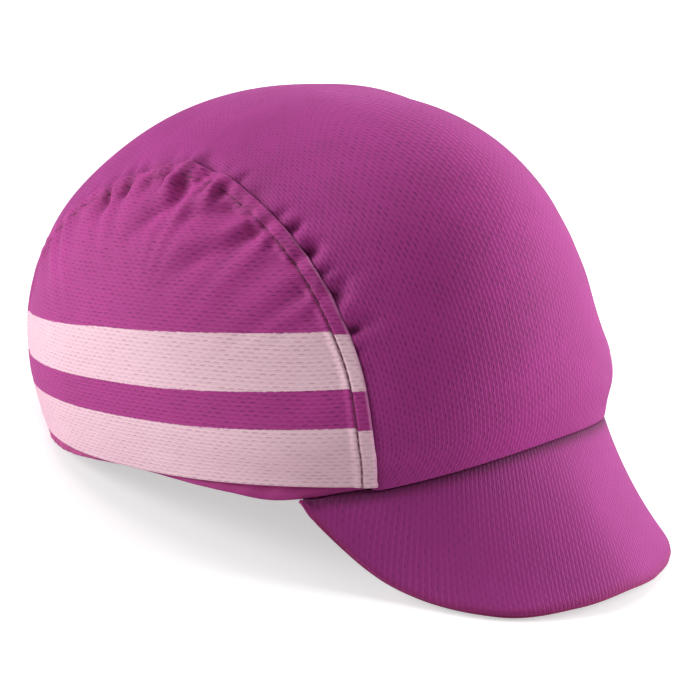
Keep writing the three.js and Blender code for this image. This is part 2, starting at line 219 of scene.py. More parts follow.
def stripFeet(shape, sidewaysAt, hem):
    # Halves the step between a place on the panel and one off it, for all lines at once, and
    # gives the places where the lines end in front and at the nape.
    feet = []
    for inside, outside in seam["feet"]:
        kept, cut = np.full(shape, inside), np.full(shape, outside)
        for halving in range(seam["halvings"]):
            middle = (kept + cut) / 2
            turn, rise = onStrip(middle, sidewaysAt(middle))
            on = rise > hem(turn)
            kept, cut = np.where(on, middle, kept), np.where(on, cut, middle)
        feet.append(kept)
    return feet


edgeGap = asDegrees(seam["gap"] / 2)


def seamPlace(share, lip=0.0):
    # Turn and rise along the side panel's seam, share running from the front foot to the nape,
    # moved over the centre panel by lip.
    sidewaysAt = lambda over: seamSpread(over) + edgeGap - asDegrees(lip)
    front, nape = stripFeet((), sidewaysAt, sideHem)
    over = front + (nape - front) * share
    return onStrip(over, sidewaysAt(over))


def runLength(points, axis=0):
    # Length run along a path or a grid of points in one direction, from its first line.
    step = np.linalg.norm(np.diff(points, axis=axis), axis=-1)
    start = np.zeros_like(np.take(step, [0], axis=axis))
    return np.cumsum(np.concatenate([start, step], axis=axis), axis=axis)


seamLine = bareCrown(*seamPlace(np.linspace(0, 1, seam["points"])))
seamWay = unit(np.gradient(seamLine, axis=0))
seamLength = runLength(seamLine)


def fromSeam(point):
    # Distance from the seam and place along it, both in metres, on the nearer side: the gap to
    # the closest point of the seam, split into a slide along it and the rest.
    near = point.reshape(-1, 3).copy()
    near[:, 0] = np.abs(near[:, 0])
    square = (near ** 2).sum(1)[:, None] + (seamLine ** 2).sum(1)[None] - 2 * near @ seamLine.T
    closest = square.argmin(1)
    away = near - seamLine[closest]
    slide = (away * seamWay[closest]).sum(1)
    far = np.sqrt(np.maximum((away ** 2).sum(1) - slide ** 2, 0))
    shape = point.shape[:-1]
    return far.reshape(shape), (seamLength[closest] + slide).reshape(shape)


def pastSeam(turn, rise):
    # Degrees past the seam on the ridge strip, under nought on the centre panel's side.
    t, r = np.radians(turn), np.radians(rise)
    over = np.degrees(np.arctan2(np.sin(r), np.cos(r) * np.cos(t)))
    return np.degrees(np.arcsin(np.cos(r) * np.sin(np.abs(t)))) - seamSpread(over) - edgeGap


def wave(place, pitch, start):
    # Uneven wave: a cosine whose phase is swayed by two slower sines.
    turns = place / pitch * 2 * np.pi + start
    slow = sway["slowSize"] * np.sin(turns * sway["slow"] + sway["slowStart"] * start)
    return np.cos(turns + slow + sway["slowerSize"] * np.sin(turns * sway["slower"]))


def hump(place, pitch, start):
    # The same wave between nought and one.
    return 0.5 + 0.5 * wave(place, pitch, start)


def stretch(place, key):
    # Weight of a named stretch of the seam, a smooth step up times a smooth step down.
    share = place / seamLength[-1]
    rises, full, falls, ends = seam[key]
    return smoothStep(share, rises, full) * (1 - smoothStep(share, falls, ends))


def frontWeight(place):
    # One over the front stretch of the arch, a third over its top, nought at both feet.
    drop = smoothStep(place / seamLength[-1], *seam["dropBetween"])
    return stretch(place, "front") * (1 - seam["frontDrop"] * drop)


def uneven(place):
    # Slow change of strength along the seam, a cosine between a half and one.
    slow = np.cos(place / seam["unevenPitch"] * 2 * np.pi + seam["unevenStart"])
    return 1 - seam["unevenShare"] + seam["unevenShare"] * slow


def lieDown(point):
    # Turns the worn cap about X by the rest tilt, then moves it onto the table.
    c, s = np.cos(np.radians(rest["tilt"])), np.sin(np.radians(rest["tilt"]))
    y, z = point[..., 1], point[..., 2]
    return np.stack([point[..., 0], y * c + z * s + rest["ahead"], z * c - y * s + rest["lift"]], -1)


def gridQuads(rows, columns):
    # Corner numbers of the quads of a grid of points, row by row.
    corner = np.arange(rows * columns).reshape(rows, columns)
    parts = (corner[:-1, :-1], corner[:-1, 1:], corner[1:, 1:], corner[1:, :-1])
    return np.stack([p.ravel() for p in parts], -1)


def tubeQuads(rows, sides):
    # Quads round a tube of rings, with a fan of quads over each end.
    corner = np.arange(rows * sides).reshape(rows, sides)
    right = np.roll(corner, -1, axis=1)
    around = np.stack([p.ravel() for p in (corner[:-1], right[:-1], right[1:], corner[1:])], -1)
    fan = np.array([[0, k, k + 1, k + 2] for k in range(1, sides - 2, 2)])
    return np.concatenate([around, fan[:, ::-1], fan + (rows - 1) * sides])


def ringRound(across, lift, angle):
    # Directions round a path: across times the cosine of each angle plus lift times the sine.
    turned = angle[None, :, None]
    return across[:, None] * np.cos(turned) + lift[:, None] * np.sin(turned)


def makeMesh(name, points, quads, uv=None, values=None, hard=0):
    # One object from whole arrays, turned outwards by the sign of its volume; the last hard
    # faces stay flat, as the cut edges of a wall.
    a, b, c, d = (points[quads[:, k]] for k in range(4))
    volume = (np.cross(a, b) * c).sum() + (np.cross(a, c) * d).sum()
    if volume < 0:
        quads = quads[:, ::-1]
    mesh = bpy.data.meshes.new(name)
    mesh.vertices.add(len(points))
    mesh.vertices.foreach_set("co", np.ascontiguousarray(points, dtype=np.float32).ravel())
    mesh.loops.add(len(quads) * 4)
    mesh.loops.foreach_set("vertex_index", np.ascontiguousarray(quads, dtype=np.int32).ravel())
    mesh.polygons.add(len(quads))
    mesh.polygons.foreach_set("loop_start", np.arange(0, len(quads) * 4, 4, dtype=np.int32))
    smooth = np.ones(len(quads), bool)
    smooth[len(quads) - hard:] = False
    mesh.polygons.foreach_set("use_smooth", smooth)
    if uv is not None:
        layer = mesh.uv_layers.new(name="cloth")
        layer.data.foreach_set("uv", np.ascontiguousarray(uv[quads.ravel()], dtype=np.float32).ravel())
    for key, value in (values or {}).items():
        attribute = mesh.attributes.new(key, "FLOAT", "POINT")
        attribute.data.foreach_set("value", np.ascontiguousarray(value, dtype=np.float32).ravel())
    mesh.update()
    mesh.validate()
    piece = bpy.data.objects.new(name, mesh)
    bpy.context.scene.collection.objects.link(piece)
    print(name, "made,", len(quads), "faces")
    return piece


def makeWall(name, outer, inner, uv, values):
    # A closed wall: the outer grid, the inner grid turned over, and a strip round the edge.
    rows, columns = outer.shape[:2]
    onFace = rows * columns
    corner = np.arange(onFace).reshape(rows, columns)
    face = gridQuads(rows, columns)
    border = np.concatenate([corner[0, :], corner[1:, -1], corner[-1, -2::-1], corner[-2:0:-1, 0]])
    following = np.roll(border, -1)
    rim = np.stack([following, border, border + onFace, following + onFace], -1)
    quads = np.concatenate([face, face[:, ::-1] + onFace, rim])
    points = lieDown(np.concatenate([outer.reshape(-1, 3), inner.reshape(-1, 3)]))
    twice = {key: np.tile(value.ravel(), 2) for key, value in values.items()}
    return makeMesh(name, points, quads, np.tile(uv.reshape(-1, 2), (2, 1)), twice, hard=len(rim))


def finer(steps, ends):
    # Even steps from nought to one with extra places close to both ends, for rounded edges.
    middle = np.linspace(ends[-1] * 2, 1 - ends[-1] * 2, steps)
    return np.concatenate([[0], ends, middle, 1 - np.array(ends)[::-1], [1]])


def edgeRound(away, radius):
    # Quarter circle that sinks the cloth's face towards a cut or folded edge.
    s = np.clip(away / radius, 0, 1)
    return -radius * (1 - np.sqrt(np.maximum(1 - (1 - s) ** 2, 0)))


# Centre panel

centre = {
    "long": 420, "wide": 100, "clothRadius": 0.088,
    "closer": 0.45,  # share of the lines' spacing that closes up towards the seams
    # pockets beside the seam: depth, pitch, where they lie, and the shape of their wave
    "pucker": 0.0018, "puckerPitch": 0.0083, "puckerStart": 0.4, "puckerAway": 0.0029,
    "puckerBroad": 0.0027, "puckerLean": 0.15, "pocketDeep": 1.35, "pocketPower": 1.7, "pocketLift": 0.35,
    "ripple": 0.0004, "ripplePitch": 0.017, "rippleStart": 2.0, "rippleLean": 0.5, "rippleReach": 0.012,
    "ditch": 0.0006, "ditchBroad": 0.0012,  # right along the seam
    "creaseBroad": 0.0022, "creaseShade": 0.4, "pocketShade": 0.6,
    # places past the seam of the thin allowance under the side panels, its two faces, and the
    # degrees that it ends above the hem
    "tucked": [0.0003, 0.0010, 0.0018], "tuckedOuter": -0.0013, "tuckedInner": -0.0015, "tuckedRise": 0.4,
}


def makeCentrePanel():
    # Lines over the head between the two seams, closer near them by part of a sine. Beside the
    # seam's arch lie pockets, a power of an uneven wave along the seam times a Gaussian across
    # it, and slow ripples that die away from it. A thin allowance runs on under the sides.
    even = np.linspace(-1, 1, centre["wide"])
    even = (1 - centre["closer"]) * even + centre["closer"] * np.sin(even * np.pi / 2)
    tucked = np.array(centre["tucked"])
    past = np.concatenate([-tucked[::-1], 0 * even, tucked])
    share = np.concatenate([np.full(len(tucked), -1.0), even, np.full(len(tucked), 1.0)])
    sidewaysAt = lambda over: share * (seamSpread(over) - edgeGap) + asDegrees(past)
    hemAt = lambda turn: np.where(past != 0, sideHem(turn) + centre["tuckedRise"], centreHem(turn))
    front, nape = stripFeet(share.shape, sidewaysAt, hemAt)
    over = front + (nape - front) * np.linspace(0, 1, centre["long"])[:, None]
    sideways = sidewaysAt(over)
    turn, rise = onStrip(over, sideways)
    far, place = fromSeam(bareCrown(turn, rise))
    across = bell(far, centre["puckerAway"], centre["puckerBroad"])
    gathered = frontWeight(place) * uneven(place)
    pocket = hump(place + centre["puckerLean"] * far, centre["puckerPitch"], centre["puckerStart"])
    pocket = centre["pocketDeep"] * pocket ** centre["pocketPower"] - centre["pocketLift"]
    ripple = wave(place + centre["rippleLean"] * far, centre["ripplePitch"], centre["rippleStart"])
    ripple = ripple * np.exp(-far / centre["rippleReach"])
    fine = gathered * (centre["ripple"] * ripple - centre["pucker"] * across * pocket)
    fine = fine - centre["ditch"] * bell(far, 0, centre["ditchBroad"])
    under = np.broadcast_to(smoothStep(np.abs(past), 0, tucked[0]), fine.shape)
    deeper = (fine - crown["wall"]) * (1 - under) + centre["tuckedInner"] * under
    fine = fine * (1 - under) + centre["tuckedOuter"] * under
    outer, inner = skin(turn, rise, fine), skin(turn, rise, deeper)
    middle = [len(share) // 2]
    ridge = runLength(bareCrown(*onStrip(over[:, middle], sideways[:, middle])))
    uv = np.stack([np.broadcast_to(ridge, over.shape), np.radians(sideways) * centre["clothRadius"]], -1)
    # Painted shade: darker along the seam's crease and in the pockets beside it.
    paintedShading = centre["creaseShade"] * bell(far, 0, centre["creaseBroad"])
    paintedShading = paintedShading + centre["pocketShade"] * gathered * across * np.clip(pocket, 0, 1)
    return makeWall("centrePanel", outer, inner, uv, {"paintedShade": paintedShading})


# Side panels

side = {
    # the seam's shares at the patch's upper corners, and the patch's lines
    "cornerFront": 0.27, "cornerBack": 0.77, "across": 290, "upward": 130,
    "acrossEnds": (0.0012, 0.003), "upwardEnds": (0.0015, 0.004),
    # the folded seam (welt) and the groove of its stitch line
    "welt": 0.0007, "weltFade": 0.003, "weltInside": 0.4, "stitchAway": 0.0042,
    "groove": 0.0004, "grooveBroad": 0.0005, "foldRound": 0.0006, "hemRound": 0.0005, "hemSink": 0.8,
    # tugs at the stitch line, and a share of them on the fold's edge
    "pucker": 0.0006, "puckerPitch": 0.0073, "puckerBroad": 0.002, "edgeShare": 0.3, "edgeStart": 2.2,
    # pockets over the top of the arch, with a share of their hill kept level
    "topPocket": 0.0021, "topPitch": 0.0092, "topStart": 1.7, "topLean": 0.2,
    "topAway": 0.0052, "topBroad": 0.0034, "hillShare": 0.3,
    # rays that fan out below the stitch line
    "fan": 0.0009, "fanPitch": 0.0125, "fanStart": 1.1, "fanGrow": 0.003, "fanReach": 0.011,
    # a bare film, where the patch strays past the seam
    "filmOuter": 0.0002, "filmInner": 0.0001,
    "fanShade": 0.4, "shadeReach": 0.012, "pocketShade": 0.6,
    # the painted highlight on the fold's edge fades over the top together with the thread's line
    "plainTop": 0.8,  # how much the thread and the fold's edge fade over the top
    "rimTurns": (20, 150), "rimPoints": 400,
    # heights of the stripes' edges as worn, by turn; the lower stripe ends at the hem
    "stripes": {
        "turn": [25, 33, 65, 97, 130, 145],
        "upperTop": [0.0532, 0.0526, 0.0500, 0.0466, 0.0409, 0.0375],
        "upperLow": [0.0378, 0.0366, 0.0333, 0.0304, 0.0267, 0.0245],
        "lowerTop": [0.0262, 0.0255, 0.0227, 0.0199, 0.0170, 0.0155],
    },
    "foldSlip": 0.0009, "slipBroad": 0.0003,  # the print steps where the cloth is folded over
}


def topPocket(far, place):
    # Pockets on the stitch line over the top of the arch: a squared wave times a hill, which is
    # a Gaussian across the seam times its weight along it. Gives depth and weight.
    onTop = stretch(place, "top")
    hill = onTop * bell(far, side["topAway"], side["topBroad"])
    pocket = hump(place - side["topLean"] * far, side["topPitch"], side["topStart"]) ** 2
    pocket = pocket * uneven(place) * hill
    return side["topPocket"] * (pocket - side["hillShare"] * hill), pocket, onTop


def sidePatch():
    # Coons patch in turn and rise: the hem and the arch mixed upwards, plus the seam's two
    # uprights mixed across, less the mix of the four corners.
    u = finer(side["across"], side["acrossEnds"])[:, None]
    v = finer(side["upward"], side["upwardEnds"])[None, :]
    lip = seam["lip"]
    feet = [seamPlace(np.array(share), lip) for share in (0.0, 1.0)]
    arch = [seamPlace(np.array(side[key]), lip) for key in ("cornerFront", "cornerBack")]
    above = seamPlace(side["cornerFront"] + (side["cornerBack"] - side["cornerFront"]) * u, lip)
    front = seamPlace(side["cornerFront"] * v, lip)
    nape = seamPlace(1 - (1 - side["cornerBack"]) * v, lip)
    turnBelow = feet[0][0] + (feet[1][0] - feet[0][0]) * u
    below = (turnBelow, sideHem(turnBelow))
    mixed = []
    for key in (0, 1):
        level = below[key] * (1 - v) + above[key] * v
        level = level + front[key] * (1 - u) + nape[key] * u
        foot = feet[0][key] * (1 - u) + feet[1][key] * u
        top = arch[0][key] * (1 - u) + arch[1][key] * u
        mixed.append(level - foot * (1 - v) - top * v)
    return mixed


def stripeInside(turn, height):
    # Distance inside the nearer stripe's edges, under nought outside both.
    stripes = side["stripes"]
    upperTop, upperLow, lowerTop = (np.interp(turn, stripes["turn"], stripes[key])
                                    for key in ("upperTop", "upperLow", "lowerTop"))
    return np.maximum(np.minimum(upperTop - height, height - upperLow), lowerTop - height)


def makeSidePanel(name, sign):
    # The patch laid on the crown. The welt stands proud to the stitch line, which pulls a
    # Gaussian groove; tugs, pockets and fading rays are waves along the seam.
    turn, rise = sidePatch()
    bare = bareCrown(turn, rise)
    far, place = fromSeam(bare)
    onPanel = pastSeam(turn, rise) > 0
    far = np.maximum(np.where(onPanel, far, -far) + seam["lip"], 0)
    hemAway = runLength(bare, 1)
    gathered, line = stretch(place, "arch"), side["stitchAway"]
    beyond = np.maximum(far - line, 0)
    rays = wave(place, side["fanPitch"], side["fanStart"])
    sunk, pocket, onTop = topPocket(far, place)
    tug = hump(place, side["puckerPitch"], 0.0) * bell(far, line, side["puckerBroad"])
    edge = wave(place, side["puckerPitch"], side["edgeStart"]) * bell(far, 0, side["puckerBroad"])
    fine = side["welt"] * (1 - smoothStep(far, line, line + side["weltFade"])) - sunk
    fine = fine - side["groove"] * bell(far, line, side["grooveBroad"])
    fine = fine + side["pucker"] * gathered * (side["edgeShare"] * edge - tug)
    fanned = rays * smoothStep(beyond, 0, side["fanGrow"]) * np.exp(-beyond / side["fanReach"])
    fine = fine + side["fan"] * gathered * fanned
    fine = fine + edgeRound(far, side["foldRound"]) + edgeRound(hemAway, side["hemRound"]) * side["hemSink"]
    under = np.minimum(fine, side["welt"]) * side["weltInside"] - crown["wall"]
    outer = skin(turn, rise, np.where(onPanel, fine, np.maximum(fine, side["filmOuter"])))
    inner = skin(turn, rise, np.where(onPanel, under, side["filmInner"]))
    # cloth places: along the rim by the same Y, and up by the height run
    rim = bareCrown(np.linspace(*side["rimTurns"], side["rimPoints"]), np.zeros(side["rimPoints"]))
    uv = np.stack([np.interp(bare[..., 1], rim[:, 1], runLength(rim)), hemAway], -1)
    folded = 1 - smoothStep(far, line - side["slipBroad"], line + side["slipBroad"])
    # Painted shade in the troughs of the fanned rays and in the pockets over the top of the arch.
    shade = side["fanShade"] * gathered * np.clip(-rays, 0, 1) * np.exp(-beyond / side["shadeReach"])
    values = {
        "stripe": stripeInside(turn, bare[..., 2] + side["foldSlip"] * folded),
        "seamAway": far, "paintedShade": shade + side["pocketShade"] * pocket, "plain": 1 - side["plainTop"] * onTop,
    }
    return makeWall(name, outer * [sign, 1, 1], inner * [sign, 1, 1], uv, values)


# Stitches that hold the folded seam down

stitch = {
    "pitch": 0.0029, "length": 0.0023, "radius": 0.00021, "sides": 6, "sink": 0.0002,
    "places": 900, "from": 0.004, "to": 0.996, "first": 0.001,
    "panelMiddle": (85.0, 15.0),  # a turn and rise well inside the side panel
    # rings of one stitch: shares of its length and of its radius
    "at": [0, 0.06, 0.2, 0.5, 0.8, 0.94, 1], "size": [0.15, 0.65, 0.95, 1, 0.95, 0.65, 0.15],
}


def solveAngles(point, turn, rise, rounds=6, step=0.05):
    # Newton steps in turn and rise, by finite differences, to the crown place nearest a point.
    for again in range(rounds):
        here = bareCrown(turn, rise)
        byTurn = (bareCrown(turn + step, rise) - here) / step
        byRise = (bareCrown(turn, rise + step) - here) / step
        miss = point - here
        aa, ab, bb = (byTurn ** 2).sum(-1), (byTurn * byRise).sum(-1), (byRise ** 2).sum(-1)
        am, bm = (byTurn * miss).sum(-1), (byRise * miss).sum(-1)
        size = aa * bb - ab * ab
        turn = turn + (am * bb - bm * ab) / size
        rise = rise + (bm * aa - am * ab) / size
    return turn, rise


def makeStitches(name, sign):
    # Short capsules: a ring radius that follows a half circle at each end, along a chord between
    # two places on the stitch line, which is found by moving off the seam across the panel.
    turn, rise = seamPlace(np.linspace(stitch["from"], stitch["to"], stitch["places"]))
    at = bareCrown(turn, rise)
    inwards = unit(np.cross(crownNormal(turn, rise), unit(np.gradient(at, axis=0))))
    middle = bareCrown(*(np.array(angle) for angle in stitch["panelMiddle"]))
    inwards = inwards * np.sign(((middle - at) * inwards).sum(-1, keepdims=True))
    turn, rise = solveAngles(at + inwards * (side["stitchAway"] - seam["lip"]), turn, rise)
    place = fromSeam(bareCrown(turn, rise))[1]
    tug = stretch(place, "arch") * hump(place, side["puckerPitch"], 0.0)
    proud = side["welt"] - side["groove"] - side["pucker"] * tug - topPocket(side["stitchAway"], place)[0]
    line = skin(turn, rise, proud + stitch["radius"] - stitch["sink"])
    run, normal = runLength(line), crownNormal(turn, rise)
    starts = np.arange(stitch["first"], run[-1] - stitch["length"], stitch["pitch"])
    read = lambda spots, rows: np.stack([np.interp(spots, run, rows[:, k]) for k in range(3)], -1)
    a, b = read(starts, line), read(starts + stitch["length"], line)
    lift = unit(read(starts, normal))
    share, size = np.array(stitch["at"]), np.array(stitch["size"])
    core = a[:, None] + (b - a)[:, None] * share[None, :, None]
    angle = np.linspace(0, 2 * np.pi, stitch["sides"], endpoint=False)
    ring = ringRound(unit(np.cross(unit(b - a), lift)), lift, angle)
    points = core[:, :, None, :] + stitch["radius"] * size[None, :, None, None] * ring[:, None]
    points = (points * [sign, 1, 1]).reshape(-1, 3)
    one = tubeQuads(len(share), stitch["sides"])
    offset = np.arange(len(starts)) * len(share) * stitch["sides"]
    quads = (one[None] + offset[:, None, None]).reshape(-1, 4)
    return makeMesh(name, lieDown(points), quads)


# Bands inside the lower edge

band = {
    "height": 0.027, "wall": 0.0016, "turn": 105.0, "gap": 0.0005, "roll": 0.0007,
    "sag": 0.0009, "sagTurn": 51.5, "sagBreadth": 6.0,  # hangs lower just behind the peak
    "ripple": 0.00025, "rippleTurn": 0.9, "rippleUp": 9, "clothRadius": 0.085,
    "places": 360, "rows": 30, "ends": (0.01, 0.03), "outBetween": (36, 46),
}
casing = {
    "height": 0.020, "wall": 0.002, "roll": 0.0008, "gather": 0.0007, "gathers": 15,
    "pin": 0.0003, "pinsEach": 2.6, "pinStart": 0.7, "shade": 0.35,
    "places": 500, "rows": 34, "ends": (0.012, 0.04),
}
bandInset = crown["wall"] + band["gap"]
# where a band comes out under the hem: how much short of the crown's face, the least height of
# the strip that shows, and the share of it that is full out
showing = {"short": 0.0002, "least": 0.0012, "full": 0.3}


def comeOut(turn, run, weight):
    # Smooth step outwards under the hem, over the height between the hem and the band's edge.
    strip = (crownRow("hem", turn) - crownRow("edge", turn)) * crown["height"]
    strip = np.maximum(strip, showing["least"])
    return weight * (bandInset - showing["short"]) * (1 - smoothStep(run, showing["full"] * strip, strip))


def makeSweatband():
    # A strip a little inside the crown from temple to temple, with rounded long edges, slight
    # ripples, and a Gaussian sag just behind each end of the peak.
    s = finer(band["rows"], band["ends"])[:, None]
    turn = np.linspace(-band["turn"], band["turn"], band["places"])[None, :] + 0 * s
    sag = band["sag"] * bell(np.abs(turn), band["sagTurn"], band["sagBreadth"]) * (1 - s)
    run = s * band["height"]
    rise = riseAt(turn, crownRow("edge", turn) + (run - sag) / crown["height"])
    fine = edgeRound(np.minimum(run, band["height"] - run), band["roll"])
    fine = fine + band["ripple"] * np.cos(turn * band["rippleTurn"]) * np.sin(s * band["rippleUp"])
    out = comeOut(turn, run, smoothStep(np.abs(turn), *band["outBetween"]))
    outer = skin(turn, rise, fine - bandInset + out)
    inner = skin(turn, rise, -fine - bandInset - band["wall"])
    uv = np.stack([np.radians(turn) * band["clothRadius"], run + 0 * turn], -1)
    return makeWall("sweatbandCloth", outer, inner, uv, {"paintedShade": 0 * turn})


def makeCasing():
    # The nape strip: its wall moves in by a raised cosine for each gather, with finer pins
    # between two rows of stitching, and what would pass the table lies flat on it.
    gap = asDegrees(seam["gap"])
    around = np.linspace(band["turn"] + gap, 360 - band["turn"] - gap, casing["places"])[None, :]
    s = finer(casing["rows"], casing["ends"])[:, None]
    turn = np.where(around > 180, around - 360, around) + 0 * s
    share = (around - band["turn"]) / (360 - 2 * band["turn"])
    run = s * casing["height"]
    rise = riseAt(turn, crownRow("edge", turn) + run / crown["height"])
    gather = casing["gather"] * (1 - np.cos(share * casing["gathers"] * 2 * np.pi)) / 2 + 0 * s
    pins = wave(share, 1 / (casing["gathers"] * casing["pinsEach"]), casing["pinStart"])
    pins = casing["pin"] * pins * np.sin(np.pi * s) ** 0.5
    fine = edgeRound(np.minimum(run, casing["height"] - run), casing["roll"]) - gather + pins
    fine = fine + comeOut(turn, run, 1.0) * (1 + gather / bandInset)
    outer = skin(turn, rise, fine - bandInset)
    inner = skin(turn, rise, -gather + pins - bandInset - casing["wall"])
    c, t = np.cos(np.radians(rest["tilt"])), np.sin(np.radians(rest["tilt"]))
    for layer in (outer, inner):
        height = layer[..., 2] * c - layer[..., 1] * t + rest["lift"]
        layer += np.maximum(-height, 0)[..., None] * np.array([0, -t, c])
    uv = np.stack([np.radians(around) * band["clothRadius"] + 0 * s, run + 0 * around], -1)
    # Painted shade in the folds of the gathers, by each gather's depth.
    shade = gather / casing["gather"] * casing["shade"]
    return makeWall("napeCasingCloth", outer, inner, uv, {"paintedShade": shade})


# Peak

peak = {
    "reach": 0.0296, "drop": 0.0284, "turn": 49.0, "wall": 0.0014, "roll": 0.0012, "grain": 18.0,
    # at its ends the peak thins to a share of its wall, and stops short of the right angle
    "tip": 0.6, "tipFrom": 55.0, "last": 82.0,
    "bowOut": 0.5, "bowUp": 0.85, "bend": 0.09, "lipReach": 0.003, "rootShade": 0.0022, "edgeFar": 0.05,
    "places": 300, "rowsOut": 90, "ends": (0.01, 0.022),
    # the face's normal is taken by these steps, no nearer to the ends, the root and the edge
    "angleStep": 1, "awayStep": 0.05, "squareTo": 78, "faceWithin": (0.06, 0.94),
    "rows": {
        "turn": [0, 18, 38, 60, 78, 82, 90],
        "wide": [0.806, 0.877, 0.953, 0.943, 1, 1, 1],
        "long": [1, 1.002, 0.994, 0.86, 0.775, 0.8, 1],
        "low": [1, 1.039, 1.035, 0.796, 0.1, -0.065, -0.12],
        "sag": [0, 0.022, 0.046, 0.036, 0.036, 0.02, 0],
    },
}
edging = {"radius": 0.00055, "inside": 0.0002, "short": 1, "fadeBetween": (-1, 6), "places": 320,
          "sides": 12, "clothLong": 0.25, "clothRound": 0.001}


def peakEdge(angle):
    # An ellipse from root end to root end, shaped by the rows, that drops below the root.
    low = np.array(-crown["lowerTurn"])
    end, middle = skin(np.array(peak["turn"]), low), skin(np.array(0.0), low)
    row = lambda column: along(peak["rows"], "turn", column, np.abs(angle))
    reach = peak["reach"] - middle[1] + end[1]
    return np.stack([end[0] * np.sin(np.radians(angle)) * row("wide"),
                     end[1] - reach * np.cos(np.radians(angle)) * row("long"),
                     end[2] - peak["drop"] * row("low")], -1)


def peakFace(angle, away):
    # Straight chord from the root to the edge, less a parabola of sag across a bowed way.
    lower = np.full(np.shape(angle), -crown["lowerTurn"])
    root = skin(angle / 90 * peak["turn"], lower) - np.array([0, 0, seam["gap"]])
    chord = peakEdge(angle) - root
    sag = along(peak["rows"], "turn", "sag", np.abs(angle)) * 4 * away * (1 - away)
    sag = sag * np.linalg.norm(chord, axis=-1)
    bow = np.stack([np.sin(np.radians(angle)) * peak["bowOut"], -np.cos(np.radians(angle)) * peak["bowOut"],
                    np.full(np.shape(angle), peak["bowUp"])], -1)
    return root + chord * away[..., None] - bow * sag[..., None]


def peakThrough(angle, away):
    # The downward normal of the face, from central differences away from its corners.
    step, out = peak["angleStep"], peak["awayStep"]
    bent, face = np.clip(angle, -peak["squareTo"], peak["squareTo"]), np.clip(away, *peak["faceWithin"])
    across = peakFace(bent + step, face) - peakFace(bent - step, face)
    outward = peakFace(bent, face + out) - peakFace(bent, face - out)
    through = unit(np.cross(across, outward))
    return np.where(through[..., 2:] > 0, -through, through)


def peakTaper(angle):
    # Share of the wall: one, and a smooth step down to the tip's share towards both ends.
    return 1 + (peak["tip"] - 1) * smoothStep(np.abs(angle), peak["tipFrom"], peak["last"])


def makePeakSkin(name, fromTop, isUpper):
    # One skin: a lip that runs in under the crown's edge, a bend, and the face to the edge,
    # where the outer side rolls over by a quarter circle.
    away = finer(peak["rowsOut"], peak["ends"])[:, None]
    angle = np.linspace(-peak["last"], peak["last"], peak["places"])[None, :] + 0 * away
    away = away + 0 * angle
    taper, through, face = peakTaper(angle), peakThrough(angle, away), peakFace(angle, away)
    chord = np.linalg.norm(peakEdge(angle) - peakFace(angle, 0 * away), axis=-1)
    sink = -edgeRound((1 - away) * chord, peak["roll"])
    upright = np.array([0, 0, 1.0])
    mitre = unit(through - upright)
    ease = smoothStep(away, 0, peak["bend"])[..., None]
    heading = mitre / -mitre[..., 2:] * (1 - ease) + through * ease
    first = angle[:1]
    under = np.full(first.shape, -bandInset - band["wall"])
    lip = skin(first / 90 * peak["turn"], np.full(first.shape, -crown["lowerTurn"]), under)
    layers = []
    for deep in (fromTop, fromTop + peak["wall"]):
        isOutside = (deep == fromTop) == isUpper
        inset = sink * (1 if isUpper else -1) if isOutside else 0 * sink
        body = face + heading * ((deep * taper + inset)[..., None])
        flat = lip - upright * (seam["gap"] + deep * taper[:1])[..., None]
        layers.append(np.concatenate([flat, body]))
    x, outRun = np.concatenate([face[:1, :, 0], face[..., 0]]), runLength(face)
    reach = np.concatenate([np.full(first.shape, -peak["lipReach"]), outRun])
    c, s = np.cos(np.radians(peak["grain"])), np.sin(np.radians(peak["grain"]))
    uv = np.stack([reach * c - x * s, x * c + reach * s], -1)
    rootAway = np.maximum(reach, 0)
    edgeAway = np.concatenate([np.full(first.shape, peak["edgeFar"]), (1 - away) * chord])
    edgeAway = np.minimum(edgeAway, peak["edgeFar"])
    # Painted shade where the peak runs in under the crown's edge; the distance from the outer edge feeds the
    # painted shade at the rolled edge.
    values = {"paintedShade": bell(rootAway, 0, peak["rootShade"]), "edgeAway": edgeAway}
    return makeWall(name, layers[0], layers[1], uv, values)


def makePeakEdging():
    # The folded seam between the two skins: a thin round carried along the outer edge.
    last, places, sides = peak["last"] - edging["short"], edging["places"], edging["sides"]
    angle = np.linspace(-last, last, places)
    through, edge = peakThrough(angle, np.ones(places)), peakEdge(angle)
    outward = unit(np.cross(unit(np.gradient(edge, axis=0)), through))
    outward = outward * np.sign((outward * (edge - edge.mean(0))).sum(-1, keepdims=True))
    deep = (peak["wall"] + seam["gap"] / 2) * peakTaper(angle)
    middle = edge + through * deep[:, None] - outward * edging["inside"]
    around = np.linspace(0, 2 * np.pi, sides, endpoint=False)
    radius = edging["radius"] * smoothStep(last - np.abs(angle), *edging["fadeBetween"])
    points = middle[:, None] + ringRound(outward, through, around) * radius[:, None, None]
    uv = np.stack([np.repeat(np.linspace(0, edging["clothLong"], places), sides),
                   np.tile(around, places) * edging["clothRound"]], -1)
    return makeMesh("peakEdging", lieDown(points.reshape(-1, 3)), tubeQuads(places, sides), uv)


# Materials

def socket(group, name, kind, isOutput=False, value=None):
    # One named input or output of a node group.
    made = group.interface.new_socket(name=name, in_out="OUTPUT" if isOutput else "INPUT",
                                      socket_type="NodeSocket" + kind)
    if value is not None:
        made.default_value = value


def mathNode(nodes, links, operation, first, second=None):
    # A Math node whose inputs are either numbers or the sockets that feed them.
    node = nodes.new("ShaderNodeMath")
    node.operation = operation
    for index, value in enumerate((first, second)):
        if value is None:
            continue
        if isinstance(value, (int, float)):
            node.inputs[index].default_value = value
        else:
            links.new(value, node.inputs[index])
    return node.outputs[0]


